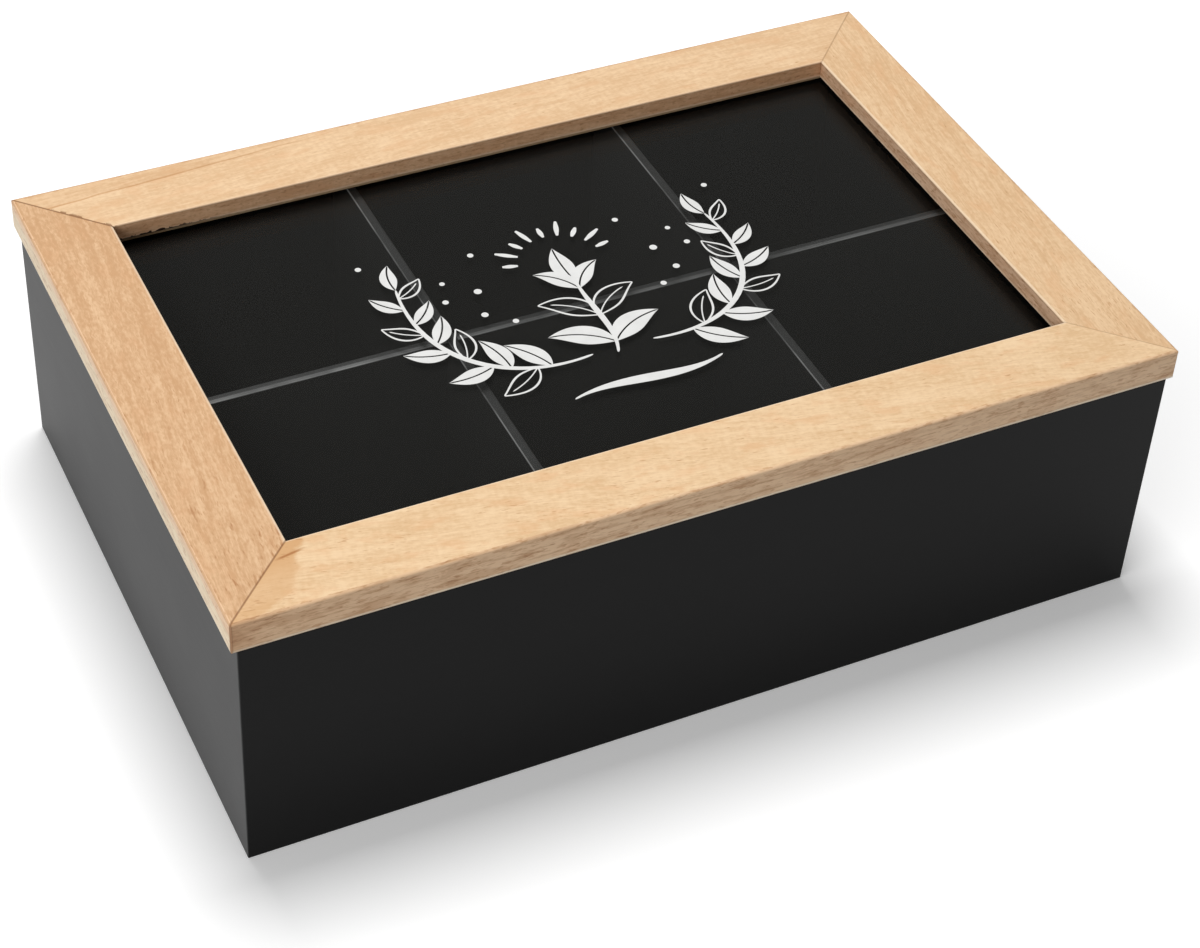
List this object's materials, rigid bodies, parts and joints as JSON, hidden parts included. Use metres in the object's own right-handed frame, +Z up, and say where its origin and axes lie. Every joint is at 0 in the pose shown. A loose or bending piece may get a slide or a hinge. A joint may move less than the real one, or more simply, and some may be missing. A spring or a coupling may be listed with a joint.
{
  "type": "tea bag organizer box",
  "caption": "Low black box with a hinged lid of clear glass in a mitred pale wood frame, divided inside into nearly square bays for tea envelopes.",
  "frame": {"origin": "middle of the base, on the surface that the box stands on", "axes": "+X along the long side from left to right, +Y from the front to the hinged back, +Z up"},
  "size_m": [0.24, 0.1624, 0.0756],
  "materials": {
    "black_paint": "satin black paint on fibreboard",
    "black_inside": "matt black paint on thin fibreboard",
    "pale_wood": "sanded and thinly oiled, with a fine open grain",
    "glass": "clear float glass with a white print",
    "steel": "zinc plated"
  },
  "bodies": {
    "box": {"front_panel": "black_paint", "back_panel": "black_paint", "left_panel": "black_paint", "right_panel": "black_paint", "bottom_panel": "black_inside", "long_divider": "black_inside", "cross_divider_left": "black_inside", "cross_divider_right": "black_inside", "hinge_left_box_leaf": "steel", "hinge_left_pin": "steel", "hinge_right_box_leaf": "steel", "hinge_right_pin": "steel", "box_hinge_screws": "steel"},
    "lid": {"lid_rail_front": "pale_wood", "lid_rail_back": "pale_wood", "lid_stile_left": "pale_wood", "lid_stile_right": "pale_wood", "window_glass": "glass", "corner_v_nails": "steel", "hinge_left_lid_leaf": "steel", "hinge_right_lid_leaf": "steel", "lid_hinge_screws": "steel"}
  },
  "joints": [
    {"name": "lid_hinge", "type": "hinge", "parent": "box", "child": "lid", "pos_m": [0, 0.07975, 0.06705], "axis": [-1, 0, 0], "range_deg": [0, 108]}
  ]
}
